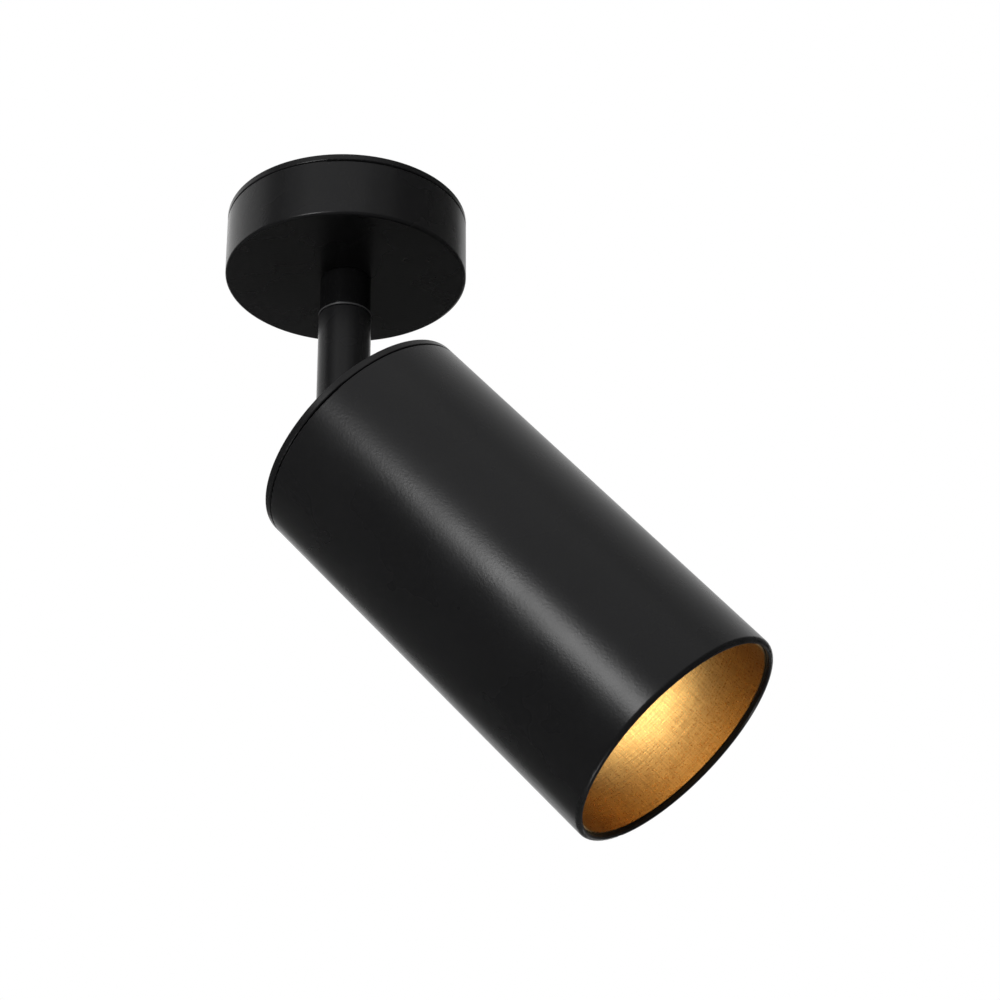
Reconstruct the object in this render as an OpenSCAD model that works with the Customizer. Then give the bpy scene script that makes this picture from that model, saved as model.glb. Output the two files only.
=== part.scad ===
// Ceiling spotlight: a round canopy, a short swivelling stem and a cylindrical
// head on a knuckle joint, with a gold baffle and a twist-lock reflector lamp.
// The origin is the centre of the ceiling face, with +Z up and the head
// tilting towards +X about an axis along Y.

/* [Pose] */
// Tilt of the head from straight down, as it is drawn
rest_tilt = 41.1; // [5:0.1:85]

/* [Canopy] */
// Outside diameter of the canopy
canopy_d = 60; // [58:1:90]
// Height from the ceiling to the underside of the canopy
canopy_h = 17.3; // [17:0.1:30]
// Wall and floor thickness of the canopy cup
canopy_wall = 1.5; // [1:0.1:2]
// Rounding of the lower edge of the cup
canopy_edge = 0.8; // [0.2:0.1:0.9]
// Shadow gap between the plate and the cup
shadow_gap = 0.2; // [0.1:0.1:0.6]

/* [Mounting plate] */
// Thickness of the steel plate
plate_t = 1.8; // [1:0.1:2]
// Diameter of the hole for the mains cable
cable_hole_d = 12; // [8:1:13]
// Distance between the two slots for the ceiling screws
slot_spacing = 36; // [34:1:40]
// Width of each slot
slot_w = 4.5; // [3.5:0.1:5]
// Length of each slot, end to end
slot_len = 8; // [6:0.5:9]
// Width of each folded ear
ear_w = 10; // [8:0.5:12]
// Drop of each ear below the plate
ear_drop = 8; // [7:0.5:9]
// Turn of the ears about the vertical, from the tilt direction
ear_turn = 12; // [0:1:20]
// Depth of the side screws below the ceiling
side_screw_depth = 6; // [5.4:0.1:6.5]
// Diameter of the side screws
side_screw_d = 3; // [2.5:0.5:4]

/* [Terminal block] */
// Depth of the block along the wires, as a share of the canopy's radius
block_depth_share = 0.4; // [0.34:0.01:0.42]
// Length of the block across its three poles, as a share of the canopy's radius
block_len_share = 0.8; // [0.76:0.01:0.84]
// Height of the block
block_h = 9.4; // [9:0.1:11]
// Outside diameter of a brass terminal tube
tube_od = 4.6; // [4:0.1:4.8]
// Inside diameter of a brass terminal tube
tube_id = 3; // [2.6:0.1:3.4]
// Diameter of the clamp and block screws, as a share of the distance between two poles
small_screw_share = 0.3; // [0.25:0.01:0.31]

/* [Swivel] */
// Diameter of the collar under the canopy
collar_d = 12.6; // [12:0.1:13]
// Length of the collar
collar_len = 10.4; // [8:0.1:20]
// Diameter of the hollow swivel bolt
bolt_d = 8; // [7:0.5:8]
// Bore through the bolt for the wires
bolt_bore_d = 4.9; // [4.6:0.1:5.2]
// Diameter of the head of the bolt
bolt_head_d = 9.9; // [9.5:0.1:10]
// Thickness of the head of the bolt
bolt_head_t = 1.5; // [1.2:0.1:2]
// Diameter of the nylon washer under the collar
swivel_washer_d = 13.2; // [12.6:0.1:14]
// Thickness of the nylon washer
swivel_washer_t = 0.4; // [0.3:0.1:1]
// Diameter of the pin that stops the turn
stop_pin_d = 1; // [0.8:0.1:1]
// Turn of the stem each way from the middle
pan_limit = 165; // [90:1:165]

/* [Stem] */
// Outside diameter of the stem
stem_d = 13; // [12.9:0.1:14]
// Wall thickness of the stem tube
stem_wall = 1.3; // [1.1:0.1:1.4]
// Thickness of the closed top end of the tube
stem_top_t = 2.5; // [2:0.1:4]
// Distance from the canopy underside to the tilt axis
pivot_drop = 39.8; // [37:0.1:80]
// Length of the plug of the tongue inside the tube
plug_len = 6; // [4:0.5:7]

/* [Knuckle] */
// Distance from the tilt axis to the rear face of the head
pivot_to_cap = 8; // [7.8:0.1:10]
// Free space between the two halves where they turn
cheek_gap = 0.6; // [0.4:0.1:1]
// Play between a round end and the shoulder it passes
shoulder_gap = 0.3; // [0.2:0.1:0.5]
// Radius of the corner that stops the head at straight down
stop_corner = 1.5; // [1:0.1:3]
// Diameter of the pivot screw
pivot_d = 4; // [3.5:0.1:4]
// Diameter of the boss round the pivot screw
boss_d = 6.4; // [6:0.1:6.6]
// Diameter of the head of the pivot screw
pivot_head_d = 7; // [6.5:0.1:7]
// Thickness of the head of the pivot screw
pivot_head_t = 2.2; // [2:0.1:2.3]
// Distance between the milled flats on the two sides
flat_w = 11; // [10.8:0.1:11.5]

/* [Head] */
// Outside diameter of the head
head_d = 60; // [60:1:80]
// Space between the rear face of the head and the lamp holder
rear_space = 12.1; // [10:0.1:60]
// Wall thickness of the head tube
head_wall = 1.5; // [1:0.1:1.5]
// Rounding of the front edge of the tube
lip_round = 1.1; // [0.3:0.1:1.2]
// Chamfer inside the front edge of the tube
lip_chamfer = 0.3; // [0.1:0.1:0.5]
// Thickness of the visible rim of the rear cap
cap_rim = 1.9; // [1.5:0.1:3]
// Thickness of the disc of the rear cap
cap_t = 4; // [3.8:0.1:6]
// Rounding of the rear edge of the cap
cap_edge = 0.3; // [0.2:0.1:0.8]
// Seam between the cap and the tube
cap_seam = 0.2; // [0.1:0.1:0.5]
// Length of the threaded plug of the cap
cap_plug_len = 6; // [5:0.5:8]
// Wall thickness of the plug of the cap
cap_plug_wall = 2; // [1.5:0.1:3]

/* [Baffle] */
// Wall thickness of the gold baffle
baffle_wall = 0.4; // [0.3:0.1:0.8]
// How far the baffle sits behind the front edge
baffle_recess = 1.4; // [0.2:0.1:2]
// Depth of the straight part of the baffle
baffle_straight = 23.6; // [20:0.1:30]
// Depth of the cone that leads in to the lamp
baffle_cone = 3; // [2:0.1:5]
// How far the baffle laps over the edge of the lamp
baffle_lap = 0.7; // [0.5:0.1:2]
// Length of the ring that goes round the lamp
baffle_ring_len = 6; // [5:0.5:8]
// Thickness of the silicone ring that grips the tube
grip_ring_d = 2; // [1.6:0.1:2.4]

/* [Lamp] */
// Free space between the reflector lamp and the tube
lamp_gap = 3.5; // [3.5:0.1:8]
// Length of the lamp without its pins
lamp_len = 50; // [46:0.5:54]
// Wall thickness of the lamp shell
lamp_wall = 1.2; // [1:0.1:2]
// Distance between the two lamp pins
pin_spacing = 10; // [9.8:0.1:10.4]
// Diameter of the neck of a lamp pin
pin_neck_d = 3; // [2.6:0.1:3.2]
// Diameter of the head of a lamp pin
pin_head_d = 4.8; // [4.4:0.1:5]
// Length of a lamp pin
pin_len = 7; // [6.6:0.1:7.4]
// Turn that unlocks the lamp
lamp_turn = 25; // [15:1:25]

/* [Lamp holder] */
// Diameter of the ceramic holder
holder_d = 27; // [26:0.5:30]
// Width of the holder across its flats
holder_w = 19; // [18:0.5:22]
// Length of the holder
holder_len = 20; // [18:0.5:22]
// Thickness of the front wall of the holder
holder_front_t = 3; // [2.6:0.1:3.2]
// Width of the bracket strap
strap_w = 7; // [6:0.1:7]
// Thickness of the bracket strap
strap_t = 1; // [0.8:0.1:1.5]
// Distance between the two legs of the bracket
strap_span = 28; // [27:0.5:32]

/* [Wires] */
// Diameter of an insulated lead
lead_d = 1.5; // [1.2:0.1:1.5]
// Outside diameter of the glass-fibre sleeve
sleeve_d = 4.2; // [4.1:0.1:4.4]
// Wall thickness of the glass-fibre sleeve
sleeve_wall = 0.35; // [0.2:0.05:0.4]

/* [Hidden] */
$fn = 96;

// Fits shared by all pieces
cut = 1;
run_fit = 0.05;
slip_fit = 0.1;
body_gap = 0.3;

// Colours
black = "#1d1d1f";
gold = "#c79a4b";
steel = "#b9bcc0";
brass = "#c8a860";
nylon = "#e9e6dc";
ceramic = "#f2efe8";
dark_nylon = "#3a3a3c";
live = "brown";
neutral = "royalblue";

// Canopy
canopy_r = canopy_d / 2;
cup_inner_r = canopy_r - canopy_wall;
cup_top = -(plate_t + shadow_gap);
cup_bottom = -canopy_h;
cup_floor = cup_bottom + canopy_wall;
cup_top_edge = canopy_wall / 6;
plate_edge = plate_t / 5;
ear_reach = sqrt(pow(cup_inner_r - body_gap, 2) - pow(ear_w / 2, 2));
side_screw_len = 5;
side_screw_sink = 0.2;
side_socket_depth = 1.5;
side_socket_across = side_screw_d / 2;
side_hole_d = side_screw_d + 2 * slip_fit;

// Nuts, washers and their steps
bolt_nut_across = 13;
bolt_nut_t = 2.7;
lock_washer_t = 0.6;
bolt_tail = 0.7;
hex_share = 1 / cos(30);
bolt_nut_corner_r = bolt_nut_across * hex_share / 2;
bolt_washer_rim = 3;
nut_base = cup_floor + lock_washer_t;
bolt_top = nut_base + bolt_nut_t + bolt_tail;

// Cross recess of a small screw, as shares of its head
recess_reach_share = 0.55;
recess_w_share = 0.24;

// Terminal block, beside the nut and under the plate
block_side_gap = 1;
block_depth = canopy_r * block_depth_share;
block_len = canopy_r * block_len_share;
pole_pitch = block_len / 3;
small_screw_d = pole_pitch * small_screw_share;
block_x = -(bolt_nut_corner_r + block_side_gap + block_depth / 2);
block_top = -plate_t;
block_bottom = block_top - block_h;
pole_drop_share = 0.58;
pole_z = block_top - block_h * pole_drop_share;
poles = [-1, 0, 1];
tube_len = block_depth - 2 * body_gap;
lead_grip_share = 0.4;
lead_grip = tube_len * lead_grip_share;
clamp_screw_x = tube_len / 4;
small_head_d_share = 1.8;
small_head_t_share = 0.6;
small_head_d = small_screw_d * small_head_d_share;
small_head_t = small_screw_d * small_head_t_share;
earth_screw_at = [12, 13];
earth_head_d = 7;
earth_head_t = 2.4;
earth_screw_d = 4;
earth_tab_t = 0.8;

// Swivel, from the canopy down
collar_bottom = cup_bottom - collar_len;
collar_edge = collar_d / 32;
swivel_washer_bottom = collar_bottom - swivel_washer_t;
stem_top = swivel_washer_bottom - slip_fit;
stem_r = stem_d / 2;
stem_inner_r = stem_r - stem_wall;
stem_edge = stem_wall / 4;
stem_ceiling = stem_top - stem_top_t;
disc_spring_h = 0.8;
disc_spring_t = 0.4;
bolt_head_top = stem_ceiling - disc_spring_h;
bolt_bottom = bolt_head_top - bolt_head_t;
bolt_slot_w = 1.2;
bolt_slot_t = bolt_head_t / 2;
stop_radius = (bolt_d / 2 + stem_r) / 2;
stop_groove_w = stop_pin_d + 2 * slip_fit;
stop_groove_t = stem_top_t / 2;
stop_pin_reach = stop_groove_t - body_gap;
stop_pin_seat = 2 * stop_pin_d;
stop_land = 180 - pan_limit - asin(stop_pin_d / 2 / stop_radius);

// Knuckle, about the tilt axis
pivot_z = cup_bottom - pivot_drop;
shoulder = stem_r + shoulder_gap;
cheek = cheek_gap / 2;
boss_r = boss_d / 2;
lane_gap = 0.2;
lead_r = lead_d / 2;
lead_side = lead_r + run_fit;
lead_orbit = boss_r + lane_gap + lead_r;
lane_outer = lead_orbit + lead_r + lane_gap;
lane_half_w = lead_side + lead_r + lane_gap;
lane_inner_share = 0.46;
lane_inner = lead_orbit * lane_inner_share;
flat_y = flat_w / 2;
flat_top_share = 0.8;
flat_top = stem_r * flat_top_share;
spring_washer_t = 0.4;
counterbore_d = pivot_head_d + 2 * body_gap;
counterbore_t = pivot_head_t + spring_washer_t + 3 * run_fit;
pivot_head_y = -flat_y + run_fit + pivot_head_t;
pivot_end_y = flat_y - run_fit;
pivot_socket_share = 0.7;
plug_r = stem_inner_r - run_fit;
plug_wall = 1.25;
knuckle_bore_r = plug_r - plug_wall;
bend_x = knuckle_bore_r - lead_side - lead_r / 2;

// Head, measured forward from the tilt axis
head_r = head_d / 2;
head_inner_r = head_r - head_wall;
cap_rear = pivot_to_cap;
cap_inside = cap_rear + cap_t;
cap_step = cap_rear + cap_rim;
cap_step_edge = cap_rim / 6;
tube_rear = cap_step + cap_seam;
lip_r = min(lip_round, head_wall - lip_chamfer);
lug_thread_r = 5;
lug_washer_rim = 3.5;
lug_nut_across = 14;
lug_nut_t = 3;
lug_nut_base = cap_inside + lock_washer_t;
lug_end = lug_nut_base + lug_nut_t + bolt_tail;

// Holder, lamp and baffle, measured forward from the rear face: they set the length of the head
holder_back = cap_rear + rear_space;
holder_front = holder_back + holder_len;
lamp_back = holder_front + body_gap;
lamp_front = lamp_back + lamp_len;
seat_back = lamp_front + body_gap;
cone_back = seat_back + baffle_wall;
cone_front = cone_back + baffle_cone;
baffle_front = cone_front + baffle_straight;
front = baffle_front + baffle_recess;
baffle_back = seat_back - baffle_ring_len;
baffle_r = head_inner_r - slip_fit;
baffle_inner_r = baffle_r - baffle_wall;
lamp_r = head_inner_r - lamp_gap;
window_r = lamp_r - baffle_lap;
lamp_pocket_r = lamp_r + body_gap;
lens_inset = lamp_wall;
lens_t = 1.5;
lens_r = lamp_r - lamp_wall - run_fit;
rim_len = 6;
base_len = 8;
base_share = 0.448;
base_r = lamp_r * base_share;
board_t = 1.2;
grip_ring_z = baffle_back + baffle_ring_len / 2;
grip_ring_r = head_inner_r - run_fit - grip_ring_d / 2;
lamp_profile_shares = [[1, 0], [0.93, 0.16], [0.8, 0.38], [0.66, 0.62], [0.58, 0.82], [0.55, 1]];
pin_radius = pin_spacing / 2;
pin_head_share = 0.36;
pin_head_len = pin_len * pin_head_share;
neck_slot_r = pin_neck_d / 2 + body_gap;
head_slot_r = pin_head_d / 2 + body_gap;
contact_h = 2.4;
contact_t = 0.5;
chamber_top = holder_front - holder_front_t;
chamber_floor = lamp_back - pin_len - contact_h;
lead_hole_r = lead_r + 2 * slip_fit;
strap_top = holder_back;
strap_bottom = strap_top - strap_t;
foot_len = 7;
m3_d = 3;
m3_head_d = 5.5;
m3_head_t = 1.8;
bracket_screw_x = strap_span / 2 + foot_len / 2;
holder_screw_share = 0.32;
holder_screw_x = holder_d * holder_screw_share;
holder_screw_bite = 7;
cap_screw_bite = 2.6;

// A round bar or ring as a profile, with rounded outer edges
module ring_profile(inner_r, outer_r, low, high, low_round, high_round) {
    difference() {
        translate([inner_r, low]) square([outer_r - inner_r, high - low]);
        if (low_round > 0) corner_cut(outer_r, low, low_round, -1);
        if (high_round > 0) corner_cut(outer_r, high, high_round, 1);
    }
}

// What a rounded outer corner loses: side is 1 on a top edge and -1 on a bottom edge
module corner_cut(x, y, r, side) {
    difference() {
        translate([x - r, y - (side > 0 ? r : cut)]) square([r + cut, r + cut]);
        translate([x - r, y - side * r]) circle(r);
    }
}

module ring(inner_r, outer_r, low, high, low_round = 0, high_round = 0) {
    rotate_extrude() ring_profile(inner_r, outer_r, low, high, low_round, high_round);
}

// A cylinder between two heights
module post(r, low, high) {
    translate([0, 0, low]) cylinder(r = r, h = high - low);
}

module hex_nut(across, hole_r, low, high) {
    difference() {
        translate([0, 0, low]) cylinder(d = across * hex_share, h = high - low, $fn = 6);
        post(hole_r, low - cut, high + cut);
    }
}

// A screw along +Z with its head on top, under which the shank starts at zero
module screw(shank_r, shank_len, head_r, head_t) {
    difference() {
        union() {
            post(shank_r, -shank_len, 0);
            post(head_r, 0, head_t);
        }
        cross_recess(head_r, head_t);
    }
}

module cross_recess(head_r, head_t) {
    reach = head_r * recess_reach_share;
    w = head_r * recess_w_share;
    for (turn = [0, 90])
        rotate([0, 0, turn]) translate([-reach, -w / 2, head_t / 2]) cube([2 * reach, w, head_t]);
}

// Points on a smooth curve from a to d that leaves towards b and arrives from c
function curve(a, b, c, d, steps) = [
    for (i = [0:steps])
        let (s = i / steps, t = 1 - s)
        a * t * t * t + b * 3 * s * t * t + c * 3 * s * s * t + d * s * s * s
];

function unit(v) = v / norm(v);

function heading(path, i) =
    i == 0 ? unit(path[1] - path[0])
    : i == len(path) - 1 ? unit(path[i] - path[i - 1])
    : unit(path[i + 1] - path[i - 1]);

function lead_ring(centre, along, across, r, sides) =
    let (u = unit(cross(along, across)), v = cross(along, u))
    [for (j = [0:sides - 1]) centre + r * (cos(360 * j / sides) * u + sin(360 * j / sides) * v)];

// An insulated lead swept along a path
module lead(path, across) {
    sides = 8;
    rings = len(path);
    points = [for (i = [0:rings - 1]) each lead_ring(path[i], heading(path, i), across, lead_r, sides)];
    first = [for (j = [0:sides - 1]) j];
    last = [for (j = [0:sides - 1]) rings * sides - 1 - j];
    walls = [
        for (i = [0:rings - 2], j = [0:sides - 1])
            let (a = i * sides + j, b = i * sides + (j + 1) % sides)
            each [[a, a + sides, b + sides], [a, b + sides, b]]
    ];
    polyhedron(points = points, faces = concat([first, last], walls));
}

// The head's own frame: +Z runs forward from the tilt axis, -X is the upper side
module on_head() {
    translate([0, 0, pivot_z]) rotate([0, 180 - rest_tilt, 0]) children();
}

module at_ears() {
    for (turn = [0, 180]) rotate([0, 0, ear_turn + turn]) children();
}

// Steel plate with two slots, a cable hole and two ears lanced down from it
module mounting_plate() {
    color(black)
    difference() {
        union() {
            ring(0, canopy_r, -plate_t, 0, plate_edge, cup_top_edge);
            at_ears()
                translate([ear_reach - plate_t, -ear_w / 2, -plate_t - ear_drop])
                    cube([plate_t, ear_w, ear_drop + plate_t / 2]);
        }
        post(cable_hole_d / 2, -plate_t - cut, cut);
        for (side = [-1, 1]) translate([0, side * slot_spacing / 2, 0]) slot_cut();
        at_ears() lance_window();
        at_ears() side_bore(side_screw_d / 2 + run_fit, ear_reach - plate_t - cut);
        for (side = [-1, 1])
            translate([block_x, side * pole_pitch / 2, 0])
                post(small_screw_d / 2 + run_fit, -plate_t - cut, cut);
        translate(earth_screw_at) post(earth_screw_d / 2 + run_fit, -plate_t - cut, cut);
    }
}

module slot_cut() {
    run = slot_len - slot_w;
    for (end = [-1, 1]) translate([0, end * run / 2, 0]) post(slot_w / 2, -plate_t - cut, cut);
    translate([-slot_w / 2, -run / 2, -plate_t - cut]) cube([slot_w, run, plate_t + 2 * cut]);
}

// The opening left in the plate where an ear was folded down
module lance_window() {
    translate([ear_reach - plate_t - ear_drop, -ear_w / 2, -plate_t - cut])
        cube([ear_drop, ear_w, plate_t + 2 * cut]);
}

module side_bore(r, from_x) {
    translate([from_x, 0, -side_screw_depth]) rotate([0, 90, 0]) post(r, 0, canopy_r);
}

module canopy_cup() {
    color(black)
    difference() {
        ring(0, canopy_r, cup_bottom, cup_top, canopy_edge, cup_top_edge);
        post(cup_inner_r, cup_floor, cup_top + cut);
        post(bolt_d / 2 + slip_fit, cup_bottom - cut, cup_floor + cut);
        at_ears() side_bore(side_hole_d / 2, cup_inner_r - cut);
    }
}

// Two headless screws that hold the cup on the ears
module side_screws() {
    color(black)
    at_ears()
        translate([canopy_r - side_screw_sink, 0, -side_screw_depth])
            rotate([0, 90, 0])
                difference() {
                    post(side_screw_d / 2, -side_screw_len, 0);
                    translate([0, 0, -side_socket_depth])
                        cylinder(d = side_socket_across * hex_share, h = side_socket_depth + cut, $fn = 6);
                }
}

module at_poles() {
    for (pole = poles) translate([block_x, pole * pole_pitch, pole_z]) children();
}

module at_clamps() {
    at_poles() for (side = [-1, 1]) translate([side * clamp_screw_x, 0, 0]) children();
}

module terminal_block() {
    color(nylon)
    difference() {
        translate([block_x - block_depth / 2, -block_len / 2, block_bottom])
            cube([block_depth, block_len, block_h]);
        at_poles() rotate([0, 90, 0]) post(tube_od / 2 + run_fit, -block_depth, block_depth);
        at_clamps() post(small_head_d / 2 + run_fit, block_bottom - pole_z - cut, 0);
        for (side = [-1, 1]) translate([block_x, side * pole_pitch / 2, 0]) {
            post(small_screw_d / 2 + run_fit, block_bottom - cut, block_top + cut);
            post(small_head_d / 2 + run_fit, block_bottom - cut, block_bottom + small_head_t);
        }
    }
}

module terminal_tubes() {
    color(brass)
    difference() {
        at_poles() rotate([0, 90, 0]) post(tube_od / 2, -tube_len / 2, tube_len / 2);
        at_poles() rotate([0, 90, 0]) post(tube_id / 2, -tube_len, tube_len);
        at_clamps() post(small_screw_d / 2 + run_fit, -tube_od, 0);
    }
}

// Six screws that clamp the wires in the tubes, driven from below
module clamp_screws() {
    color(steel)
    at_clamps()
        translate([0, 0, block_bottom - pole_z + small_head_t])
            rotate([180, 0, 0])
                screw(small_screw_d / 2, pole_z - block_bottom - small_head_t - lead_r - run_fit,
                      small_head_d / 2, small_head_t);
}

module block_screws() {
    color(steel)
    for (side = [-1, 1])
        translate([block_x, side * pole_pitch / 2, block_bottom + small_head_t])
            rotate([180, 0, 0])
                screw(small_screw_d / 2, block_h - small_head_t + plate_t - run_fit,
                      small_head_d / 2, small_head_t);
}

// Earth screw with its tab, from below into the plate
module earth_screw() {
    color(brass)
    translate([earth_screw_at[0], earth_screw_at[1], -plate_t]) {
        ring(earth_screw_d / 2 + run_fit, earth_head_d / 2, -earth_tab_t, 0);
        translate([0, 0, -earth_tab_t - run_fit])
            rotate([180, 0, 0])
                screw(earth_screw_d / 2, plate_t + earth_tab_t, earth_head_d / 2, earth_head_t);
    }
}

// Hollow bolt: it hangs the stem under the collar and lets the wires through
module swivel_bolt() {
    color(steel)
    difference() {
        union() {
            post(bolt_d / 2, bolt_head_top, bolt_top);
            post(bolt_head_d / 2, bolt_bottom, bolt_head_top);
        }
        post(bolt_bore_d / 2, bolt_bottom - cut, bolt_top + cut);
        translate([-bolt_head_d, -bolt_slot_w / 2, bolt_bottom - cut])
            cube([2 * bolt_head_d, bolt_slot_w, bolt_slot_t + cut]);
    }
}

module bolt_lock_washer() {
    color(steel) ring(bolt_d / 2 + run_fit, bolt_d / 2 + bolt_washer_rim, cup_floor, nut_base);
}

module bolt_nut() {
    color(brass) hex_nut(bolt_nut_across, bolt_d / 2 + run_fit, nut_base, nut_base + bolt_nut_t);
}

module collar() {
    color(black)
    difference() {
        ring(bolt_d / 2 + run_fit, collar_d / 2, collar_bottom, cup_bottom, collar_edge, collar_edge);
        at_stop_pin() post(stop_pin_d / 2 + run_fit, collar_bottom - cut, collar_bottom + stop_pin_seat);
    }
}

module at_stop_pin() {
    translate([stop_radius, 0, 0]) children();
}

module swivel_washer() {
    color(dark_nylon)
    difference() {
        ring(bolt_d / 2 + run_fit, swivel_washer_d / 2, swivel_washer_bottom, collar_bottom);
        at_stop_pin() post(stop_pin_d / 2 + run_fit, swivel_washer_bottom - cut, collar_bottom + cut);
    }
}

module stop_pin() {
    color(steel)
    at_stop_pin() post(stop_pin_d / 2, stem_top - stop_pin_reach, collar_bottom + stop_pin_seat);
}

module stem_tube() {
    color(black)
    difference() {
        ring(0, stem_r, pivot_z + shoulder, stem_top, 0, stem_edge);
        post(stem_inner_r, pivot_z + shoulder - cut, stem_ceiling);
        post(bolt_d / 2 + run_fit, stem_ceiling - cut, stem_top + cut);
        rotate([0, 0, 180 + stop_land])
            rotate_extrude(angle = 360 - 2 * stop_land)
                translate([stop_radius - stop_groove_w / 2, stem_top - stop_groove_t])
                    square([stop_groove_w, stop_groove_t + cut]);
    }
}

// Cone-shaped spring that gives the swivel its friction
module disc_spring() {
    inner = bolt_d / 2 + slip_fit;
    outer = stem_inner_r - slip_fit;
    low = bolt_head_top + run_fit;
    high = stem_ceiling - run_fit;
    color(steel)
    rotate_extrude()
        polygon([[inner, low], [outer, high - disc_spring_t], [outer, high], [inner, low + disc_spring_t]]);
}

// One half of the knuckle in its own frame: the tilt axis is Y through the
// origin, its body is on the +Z side, and it fills the -Y side
module knuckle_half() {
    difference() {
        intersection() {
            post(stem_r, -stem_r - cut, shoulder);
            rotate([90, 0, 0]) linear_extrude(height = stem_r + cut) knuckle_outline();
            translate([-stem_r - cut, -stem_r - cut, -stem_r - cut])
                cube([stem_d + 2 * cut, stem_r + cut - cheek, stem_d + shoulder + 2 * cut]);
        }
        translate([-stem_r - cut, -stem_r - cut, -stem_r - cut])
            cube([stem_d + 2 * cut, stem_r + cut - flat_y, stem_r + cut + flat_top]);
        difference() {
            wire_channel();
            rotate([90, 0, 0]) post(boss_r, -stem_r, stem_r);
        }
    }
}

// Side view of a half: a round end, a square corner that acts as the stop, and the body
module knuckle_outline() {
    circle(stem_r);
    translate([-stem_r, 0]) square([stem_d, shoulder]);
    translate([-stem_r, stop_corner - stem_r]) square([stem_r, stem_r - stop_corner]);
    translate([stop_corner - stem_r, -stem_r]) square([stem_r - stop_corner, stem_r]);
    translate([stop_corner - stem_r, stop_corner - stem_r]) circle(stop_corner);
}

// Room for the leads to pass the pivot at any tilt
module wire_channel() {
    rotate([90, 0, 0]) post(lane_outer, -lane_half_w, lane_half_w);
    translate([-lane_outer, -lane_half_w, 0])
        cube([lane_outer - lane_inner, 2 * lane_half_w, shoulder + cut]);
    translate([-lane_outer, -lane_half_w, -stem_d])
        cube([lane_outer + stem_d, 2 * lane_half_w, stem_d]);
}

// The half on the stem, with the counterbore for the screw and a threaded plug
module stem_tongue() {
    color(black)
    translate([0, 0, pivot_z])
    difference() {
        union() {
            knuckle_half();
            post(plug_r, shoulder, shoulder + plug_len);
        }
        post(knuckle_bore_r, shoulder, shoulder + plug_len + cut);
        along_pivot() post(pivot_d / 2 + run_fit, 0, stem_d);
        along_pivot() post(counterbore_d / 2, flat_y - counterbore_t, stem_d);
    }
}

// The pivot axis as a frame whose +Z points to the side of the screw head
module along_pivot() {
    rotate([90, 0, 0]) children();
}

// The half on the head, with a round foot and a threaded neck through the cap
module head_lug() {
    color(black)
    on_head()
    difference() {
        union() {
            rotate([0, 0, 180]) knuckle_half();
            post(stem_r, shoulder, cap_rear);
            post(lug_thread_r, cap_rear, lug_end);
        }
        post(knuckle_bore_r, shoulder, lug_end + cut);
        along_pivot() post(pivot_d / 2 + run_fit, -stem_d, 0);
    }
}

module pivot_screw() {
    color(steel)
    on_head()
    along_pivot()
    difference() {
        union() {
            post(pivot_d / 2, -pivot_end_y, -pivot_head_y);
            post(pivot_head_d / 2, -pivot_head_y, flat_y - run_fit);
        }
        translate([0, 0, flat_y - run_fit - pivot_head_t / 2])
            cylinder(d = pivot_d * pivot_socket_share, h = pivot_head_t, $fn = 6);
    }
}

module pivot_spring_washer() {
    floor_y = flat_y - counterbore_t + run_fit;
    color(steel)
    on_head()
        along_pivot()
            ring(pivot_d / 2 + slip_fit, pivot_head_d / 2, floor_y, floor_y + spring_washer_t);
}

module friction_washer() {
    color(dark_nylon)
    on_head()
        along_pivot()
            ring(pivot_d / 2 + slip_fit, boss_r, run_fit - cheek, cheek - run_fit);
}

module stem_sleeve() {
    bottom = pivot_z + shoulder + plug_len + lead_d;
    color("#efece2")
    ring(sleeve_d / 2 - sleeve_wall, sleeve_d / 2, bottom, bolt_top - body_gap);
}

// Leads from the top of the bolt down to the level of the tilt axis
module stem_lead(side) {
    top = [0, side * lead_side, bolt_top + lead_r];
    bend = [0, side * lead_side, pivot_z + shoulder + plug_len + lead_d];
    neck = [-bend_x, side * lead_side, pivot_z + shoulder];
    end = [-lead_orbit, side * lead_side, pivot_z];
    neck_pull = [0, 0, plug_len / 2];
    end_pull = [0, 0, shoulder / 3];
    lead(concat([top], curve(bend, bend - neck_pull, neck + neck_pull, neck, 6),
                [neck + (end - neck) / 2], [end + end_pull, end]), [0, 1, 0]);
}

module stem_live_lead() {
    color(live) stem_lead(1);
}

module stem_neutral_lead() {
    color(neutral) stem_lead(-1);
}

// The short bends of the two leads round the boss, as they lie at this tilt
module knuckle_leads() {
    for (side = [-1, 1])
        color(side > 0 ? live : neutral)
        translate([0, side * lead_side, pivot_z])
            along_pivot()
                rotate([0, 0, 180])
                    rotate_extrude(angle = rest_tilt) translate([lead_orbit, 0]) circle(lead_r, $fn = 24);
}

module lug_lock_washer() {
    color(steel)
    on_head() ring(lug_thread_r + run_fit, lug_thread_r + lug_washer_rim, cap_inside, lug_nut_base);
}

module lug_nut() {
    color(steel)
    on_head() hex_nut(lug_nut_across, lug_thread_r + run_fit, lug_nut_base, lug_nut_base + lug_nut_t);
}

// Rear disc of the head with a threaded plug for the tube
module rear_cap() {
    color(black)
    on_head()
    difference() {
        union() {
            ring(0, head_r, cap_rear, cap_step, cap_edge, cap_step_edge);
            post(head_inner_r - run_fit, cap_step, cap_inside + cap_plug_len);
        }
        post(head_inner_r - run_fit - cap_plug_wall, cap_inside, cap_inside + cap_plug_len + cut);
        post(lug_thread_r + run_fit, cap_rear - cut, cap_inside + cut);
        for (side = [-1, 1])
            translate([side * bracket_screw_x, 0, 0])
                post(m3_d / 2 + run_fit, cap_inside - cap_screw_bite - run_fit, cap_inside + cut);
    }
}

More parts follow.
